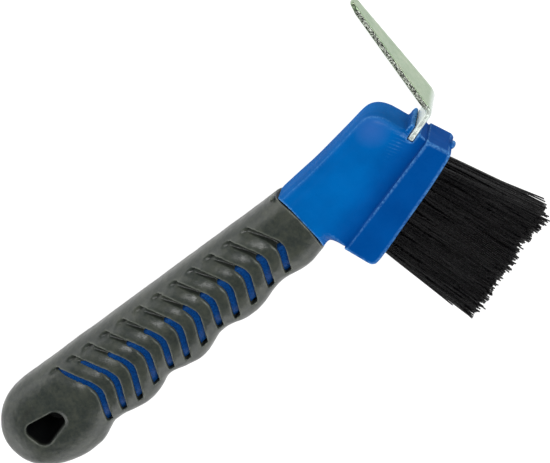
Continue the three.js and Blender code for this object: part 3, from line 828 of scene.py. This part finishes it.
def blob(name, c, r, n=16):
    rings = []
    for a in np.linspace(-1, 1, 11):
        k = math.sqrt(max(0.0, 1 - a * a)) + 1e-3
        b = np.linspace(0, 2 * np.pi, n, endpoint=False)
        rings.append(np.stack([c[0] + r[0] * k * np.cos(b), c[1] + r[1] * k * np.sin(b), np.full(n, c[2] + r[2] * a)], 1))
    return loft(name, rings)


LEG_A, TINE_A = math.radians(15.8), math.radians(85.8)
LEG = np.array([math.cos(LEG_A), math.sin(LEG_A)])
TINE = np.array([math.cos(TINE_A), math.sin(TINE_A)])
BEND = np.array([59.85, 2.85])
AX = np.array([math.cos(math.radians(16.6)), math.sin(math.radians(16.6))])
DN = np.array([AX[1], -AX[0]])
front_u = table([[10, 25.6], [14, 26.2], [22, 26.7], [31, 26.95], [40, 26.95], [47, 26.7], [52, 26.2]])
ROWS = (-4.75, 0.0, 4.75)


def leg_box(name, s0, s1, half, grow):
    nrm = np.array([-LEG[1], LEG[0]])
    o = 0.8 + grow
    q = lambda s, k: BEND - LEG * s + nrm * k
    return prism(name, [q(s0, o), q(s1, o), q(s1, -o), q(s0, -o)], -half, half)


def build_core():
    xs = np.concatenate([np.arange(8.9, 48, 0.5), np.arange(48, 53.4, 0.25), [53.4]])
    head = loft("body_core_v", [head_ring(float(x)) for x in xs])
    parts = [soft_plate("block", BLOCK, 7.4, 0.7),
             prism("lip", [[50.6, 0.2], [53.6, 1.2], [54.1, 2.9], [53.5, 3.3], [51.2, 2.9]], -6.6, 6.6),
             blob("nub", (56.2, -9.8, 0.2), (1.3, 0.9, 2.2)),
             loft("stub", core_rings(0.0, np.arange(-2.0, 9.7, 0.5), 150))]
    combine(head, parts, "UNION")
    cuts = [leg_box("p1", -6, 10.2, 14, 0.2), leg_box("p2", 4, 25.5, 5.75, 0.2)]
    for z in ROWS:
        for c in range(8):
            tu = 16.95 + c * 27.55 / 7
            vf = float(front_u(tu))
            a = np.linspace(0, 2 * np.pi, 24, endpoint=False)
            rings = []
            for d, r in ((-6.2, 1.6), (-5.9, 1.72), (-1.0, 1.72), (-0.35, 1.76), (0.0, 1.95), (0.6, 2.3), (3.0, 2.3)):
                p = AX * tu + DN * (vf + d)
                rings.append(np.stack([p[0] + AX[0] * r * np.cos(a), p[1] + AX[1] * r * np.cos(a), z + r * np.sin(a)], 1))
            cuts.append(loft("t", rings))
    combine(head, cuts, "DIFFERENCE")
    remesh(head, 0.22)
    relax(head, 5)
    v = get_co(head)
    keep = v[:, 0] > 6.5
    n = get_no(head)
    # very slight sink and flow marks of the moulding
    amp = 0.035 * fbm(v / 11.0, 2, 3)
    gx, gy = v[:, 0] - 46.8, v[:, 1] - 1.8
    flow = np.exp(-((gx / 5.0) ** 2 + (gy / 2.6) ** 2)) * np.sin(2 * np.pi * ((v[:, 0] + 0.6 * v[:, 1]) / 1.15 + 0.5 * value_noise(v / 3.0, 8)))
    amp = amp + 0.05 * flow * (v[:, 2] > 4)
    v = v + n * (amp * keep)[:, None]
    set_co(head, v)
    bar = loft("bar", core_rings(0.0, np.concatenate([[-110.0], np.arange(-109.4, -1.2, 0.6)]), 150))
    bar_v = get_co(bar)
    set_co(bar, bar_v + get_no(bar) * (0.05 * fbm(bar_v / 1.6, 3, 12))[:, None])
    combine(bar, [column("post", 2.4, -14, 14)], "DIFFERENCE")
    combine(head, [bar], "UNION")
    head.name = "body_core_v"
    bend_attribute(head)
    return finish_piece(head, BLUE, ["body_core"])


# ---------------------------------------------------------------- steel strip
def build_pick():
    bend_r, half_t, tine_len, leg_exp, leg_len = 1.8, 0.8, 35.8, 9.6, 25.0
    back = bend_r / math.tan(math.radians((180 - 70.0) / 2))
    c = BEND - LEG * back + np.array([-LEG[1], LEG[0]]) * bend_r
    st = []
    for s in np.concatenate([[leg_len, leg_len - 0.2], np.arange(24, leg_exp + 0.5, -0.8), [leg_exp + 0.3, leg_exp + 0.15, leg_exp]]):
        st.append((BEND - LEG * s, LEG_A, -s))
    for s in np.arange(leg_exp - 0.4, back + 0.3, -0.4):
        st.append((BEND - LEG * s, LEG_A, -s))
    for k in range(19):
        a = LEG_A + (TINE_A - LEG_A) * k / 18
        st.append((c + bend_r * np.array([math.sin(a), -math.cos(a)]), a, 0.0))
    for s in np.concatenate([np.arange(back + 0.4, tine_len - 1.0, 0.4), tine_len - np.array([1.0, 0.8, 0.6, 0.45, 0.3, 0.2, 0.1, 0.04, 0.0])]):
        st.append((BEND + TINE * s, TINE_A, float(s)))

    def half_w(s):
        if s < -leg_exp - 0.1:
            return 5.5
        if s <= 4:
            return 7.4
        return 7.4 + (2.4 - 7.4) * (s - 4) / (tine_len - 4)

    # section: two broad faces, two sheared edges; e runs round it
    rings, edge_cols = [], None
    r = 0.2
    sec = []           # (offset across the thickness, width factor, width offset)
    face_w = np.linspace(-1, 1, 25)
    corner = [(math.cos(t), math.sin(t)) for t in np.linspace(0, math.pi / 2, 4)]
    kinds = []
    for w in face_w[1:-1]:
        sec.append((1, w, "face", None)); kinds.append(0)
    for cx, sx in corner:
        sec.append((1, 1.0, cx, sx)); kinds.append(2)
    for o in np.linspace(1, -1, 9)[1:-1]:
        sec.append((o, 1.0, None, None)); kinds.append(1)
    for cx, sx in reversed(corner):
        sec.append((-1, 1.0, cx, sx)); kinds.append(2)
    for w in face_w[1:-1][::-1]:
        sec.append((-1, w, "face", None)); kinds.append(0)
    for cx, sx in corner:
        sec.append((-1, -1.0, cx, sx)); kinds.append(2)
    for o in np.linspace(-1, 1, 9)[1:-1]:
        sec.append((o, -1.0, None, None)); kinds.append(1)
    for cx, sx in reversed(corner):
        sec.append((1, -1.0, cx, sx)); kinds.append(2)
    n = len(sec)
    for p, a, s in st:
        nx, ny = -math.sin(a), math.cos(a)
        w = half_w(s)
        k = tine_len - s
        t_in, w_in = 0.0, 0.0
        if k < 0.6 and s > 0:                  # rounded end of the tine
            w_in = 1.3 * (1 - math.sqrt(max(0.0, 1 - (1 - k / 0.6) ** 2)))
            t_in = 0.35 * (1 - math.sqrt(max(0.0, 1 - (1 - k / 0.6) ** 2)))
        # the end is ground thin from the inner side
        grind = 0.55 * max(0.0, 1 - k / 3.2) if s > 0 else 0.0
        ring = []
        r = 0.2 + 0.5 * float(smooth01((1.6 - s) / 1.6)) if s > 0 else 0.7
        for o, wf, cx, sx in sec:
            if cx == "face":
                o, wo, inner = o * half_t, 0.0, r
            elif cx is None:
                o, wo, inner = o * (half_t - r), 0.0, 0.0
            else:
                o, wo, inner = o * (half_t - r + r * cx), (-r + r * sx) * wf, 0.0
            oo = o * (1 - t_in / half_t * 0.8)
            if oo > 0:
                oo -= grind * (oo / half_t)
            ring.append((p[0] + nx * oo, p[1] + ny * oo, (w - w_in - inner) * wf + wo))
        rings.append(ring)
    ob = loft("pick_blade_v", rings)
    v = get_co(ob)
    nrm = get_no(ob)
    col = np.concatenate([np.tile(np.array(kinds), len(st)), [1, 1]])
    # torn texture of the sheared edges, light unevenness of the broad faces
    rough = 0.085 * fbm(v * np.array([1.5, 1.1, 1.6]), 3, 41) * (col == 1) + 0.02 * fbm(v / 0.8, 2, 44) * (col == 2)
    plain = 0.03 * fbm(v / 7.0, 2, 51) * (col == 0)
    set_co(ob, v + nrm * (rough + plain)[:, None])
    me = ob.data
    me.materials.append(ZINC)
    me.materials.append(SHEAR)
    idx = np.zeros(len(me.polygons), np.int32)
    for p in me.polygons:
        ks = [col[i] for i in p.vertices]
        if 1 in ks or ks.count(2) >= 4:
            idx[p.index] = 1 if 1 in ks else 0
    # the rolled leg's edge takes the zinc material, painted bright there as a highlight, instead of the sheared one; so
    # does the tine's end
    for p in me.polygons:
        if idx[p.index] == 1:
            q = np.mean([v[i] for i in p.vertices], axis=0)
            along = float(np.dot(q[:2] - BEND, TINE))
            if along < 0.4 or along > tine_len - 2.6:
                idx[p.index] = 0
    me.polygons.foreach_set("material_index", idx)
    return finish_piece(ob, None, ["pick_blade"])


# ---------------------------------------------------------------- bristles
def filament(path, r0, r1, sides, phase, cut):
    """Tube along path (m, 3); returns verts and faces of a closed thin body."""
    m = len(path)
    tan = np.gradient(path, axis=0)
    tan /= np.linalg.norm(tan, axis=1)[:, None]
    ref = np.array([0.0, 0.0, 1.0]) if abs(tan[0][2]) < 0.9 else np.array([1.0, 0.0, 0.0])
    a = np.cross(tan, ref)
    a /= np.linalg.norm(a, axis=1)[:, None]
    b = np.cross(tan, a)
    th = phase + np.linspace(0, 2 * np.pi, sides, endpoint=False)
    rad = np.linspace(r0, r1, m)
    v = path[:, None, :] + rad[:, None, None] * (np.cos(th)[None, :, None] * a[:, None, :] + np.sin(th)[None, :, None] * b[:, None, :])
    # slanted cut at the free end
    v[-1] += (np.cos(th - cut[0]) * cut[1])[:, None] * tan[-1]
    verts = v.reshape(-1, 3)
    faces = []
    for j in range(m - 1):
        for k in range(sides):
            p, q = j * sides + k, j * sides + (k + 1) % sides
            faces.append((p, p + sides, q + sides, q))
    faces.append(tuple(range(sides)))
    faces.append(tuple(range((m - 1) * sides, m * sides))[::-1])
    return verts, faces


def build_tuft(r, c):
    tu, z = 16.95 + c * 27.55 / 7, ROWS[r]
    vf = float(front_u(tu))
    lean_u = ((tu - 30.7) / 13.8) * math.tan(math.radians(4.0))
    lean_z = (z / 4.75) * math.tan(math.radians(2.2))
    k = math.sin((r + 1) * 127.1 + (c + 1) * 311.7) * 43758.5453
    base_len = 31.0 + (k - math.floor(k) - 0.5) * 1.8 + (1.4 - 0.6 * c if c < 2 else 0)
    g = np.random.default_rng(900 + r * 40 + c)
    tuft_u, tuft_z = g.normal(0, 0.010), g.normal(0, 0.008)
    verts, faces, base = [], [], 0
    count = 44
    gold = math.pi * (3 - math.sqrt(5))
    for i in range(count):
        rr = 1.36 * math.sqrt((i + 0.5) / count)
        th = i * gold + g.normal(0, 0.08)
        bu, bz = rr * math.cos(th), rr * math.sin(th)
        length = base_len - (1.9 - 0.5 * c if c < 2 else 0.8) + g.normal(0, 0.5) - (abs(g.normal(0, 1.6)) if g.random() < 0.16 else 0)
        du = lean_u * 0.92 + tuft_u + bu / 1.36 * 0.025 + g.normal(0, 0.014)
        dz = lean_z + tuft_z + bz / 1.36 * 0.018 + g.normal(0, 0.011)
        cu, cz = g.normal(0, 0.6), g.normal(0, 0.4)          # bow, mm at the tip
        wu, wz = g.normal(0, 0.10), g.normal(0, 0.07)          # slight wave
        ph = g.uniform(0, 6.28)
        if g.random() < 0.045:                                 # a bent one
            cu += g.choice([-1, 1]) * g.uniform(1.0, 2.0)
            cz += (1 if z >= 0 else -1) * g.uniform(0.0, 0.5)
        if i == count - 1 and c in (0, 7) and r > 0:           # a stray at each end
            side = 1 if c == 7 else -1
            length = 12.5 - r if c == 7 else 26.5 - r
            du = lean_u + side * (0.12 if c == 7 else 0.03)
        st = np.concatenate([[-4.0, -0.5], np.linspace(0.8, length, 15)])
        t = np.clip(st, 0, None)
        q = t / base_len
        flare = 0.20 * (1 - np.exp(-t / 4.0))                  # the bundle opens as it leaves its hole
        pu = tu + bu + bu / 1.36 * flare + du * t + cu * q ** 2.2 + wu * np.sin(ph + 5.0 * q) * q
        pz = z + bz + bz / 1.36 * flare * 0.8 + dz * t + cz * q ** 2.2 + wz * np.sin(ph * 1.7 + 4.0 * q) * q
        pz = np.clip(pz, -9.3, 9.3)
        pv = vf + st
        path = np.stack([AX[0] * pu + DN[0] * pv, AX[1] * pu + DN[1] * pv, pz], 1)
        v, f = filament(path, 0.235, g.uniform(0.20, 0.235), 6, g.uniform(0, 1), (g.uniform(0, 6.28), g.uniform(0.05, 0.22)))
        verts.append(v)
        faces += [tuple(x + base for x in p) for p in f]
        base += len(v)
    ob = raw_object(f"bristles_r{r + 1}_c{c + 1}", np.concatenate(verts), faces)
    return finish_piece(ob, NYLON, [f"tuft_r{r + 1}_c{c + 1}"])


grip = build_grip()
core = build_core()
pick = build_pick()
for r in range(3):
    for c in range(8):
        build_tuft(r, c)
for name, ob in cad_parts.items():
    if name.startswith("tuft_anchor"):
        ob.data.materials.clear()
        ob.data.materials.append(WIRE)

# ---------------------------------------------------------------- floor
fm, nt, b = new_mat("pale_floor")
v = coords(nt, 1.0)
tone = noise_node(nt, v, 3.0, 2.0, 0.5)
pale = ramp(nt, tone, [(0.3, (0.24, 0.24, 0.24, 1)), (0.7, (0.26, 0.26, 0.26, 1))])
b.inputs["Roughness"].default_value = 0.9
b.inputs["Specular IOR Level"].default_value = 0.1
b.inputs["Emission Color"].default_value = (1, 1, 1, 1)
# glows evenly as if lit from below; painted shadow: no glow and a near-black base under the hang hole
dist = nt.nodes.new("ShaderNodeVectorMath")
dist.operation = "DISTANCE"
dist.inputs[1].default_value = ((-95.8 + SHIFT[0]) / 1000, (0.3 + SHIFT[1]) / 1000, 0.0)
nt.links.new(v, dist.inputs[0])
nt.links.new(span(nt, dist.outputs["Value"], 0.0084, 0.0094, 0.0, 0.92), b.inputs["Emission Strength"])
nt.links.new(mixc(nt, span(nt, dist.outputs["Value"], 0.0084, 0.0094, 0.97, 0.0), pale, (0.004, 0.004, 0.005, 1)), b.inputs["Base Color"])
floor = raw_object("pale_floor", [(-3, -3, -0.0002), (3, -3, -0.0002), (3, 3, -0.0002), (-3, 3, -0.0002)], [(0, 1, 2, 3)])
floor.data.materials.append(fm)


# ---------------------------------------------------------------- light
def area(name, at, to, size, power, color=(1, 1, 1)):
    d = bpy.data.lights.new(name, "AREA")
    d.shape, d.size, d.size_y, d.energy, d.color = "RECTANGLE", size[0], size[1], power, color
    o = bpy.data.objects.new(name, d)
    o.location = at
    o.rotation_mode = "QUATERNION"
    o.rotation_quaternion = (Vector(to) - Vector(at)).to_track_quat("-Z", "Y")
    scene.collection.objects.link(o)
    return o


cam_right = Vector((0.72261421, -0.67479565, -0.14993176))
cam_up = Vector((0.57479329, 0.70705229, -0.41193413))
cam_back = Vector((0.38398096, 0.21148968, 0.89879405))
centre = Vector((0.0, 0.0, 0.009))


def around(right, up, back, dist):
    """A place given by the directions of the picture, looking at the object."""
    d = cam_right * right + cam_up * up + cam_back * back
    return centre + d.normalized() * dist


def sky(name, azimuth, elevation, dist, size, power):
    """A soft panel by compass direction (0 = +Y, 90 = +X) and height, looking at the object."""
    a, e = math.radians(azimuth), math.radians(elevation)
    d = Vector((math.sin(a) * math.cos(e), math.cos(a) * math.cos(e), math.sin(e)))
    return area(name, centre + d * dist, centre, size, power)


sky("panel_far_side", -24, 17, 0.8, (0.9, 0.40), 2.5)
sky("panel_near_side", 195, 18, 0.8, (1.2, 0.40), 3.4)
sky("panel_butt", -85, 16, 0.8, (0.7, 0.35), 1.6)
sky("panel_head", 108, 56, 0.9, (0.42, 0.42), 4.2)
sky("panel_ridges", 41, 54, 0.9, (0.26, 0.24), 3.0)
sky("small_glint", -64, 65, 0.9, (0.09, 0.09), 0.10)

world = bpy.data.worlds.new("studio")
scene.world = world
world.use_nodes = True
bg = world.node_tree.nodes["Background"]
bg.inputs[0].default_value = (1.0, 1.0, 1.0, 1.0)
bg.inputs[1].default_value = 0.05

# ---------------------------------------------------------------- camera
cd = bpy.data.cameras.new("camera")
cd.lens, cd.sensor_width, cd.sensor_fit = 107.2, 36.0, "AUTO"
cd.clip_start, cd.clip_end = 0.01, 10.0
cam = bpy.data.objects.new("camera", cd)
scene.collection.objects.link(cam)
cam.matrix_world = Matrix((
    (cam_right.x, cam_up.x, cam_back.x, 0.2051228),
    (cam_right.y, cam_up.y, cam_back.y, 0.1083238),
    (cam_right.z, cam_up.z, cam_back.z, 0.4300786),
    (0, 0, 0, 1)))
scene.camera = cam
scene.view_settings.view_transform = "Standard"
scene.view_settings.look = "None"
scene.view_settings.exposure = 0.0
scene.view_settings.gamma = 1.0
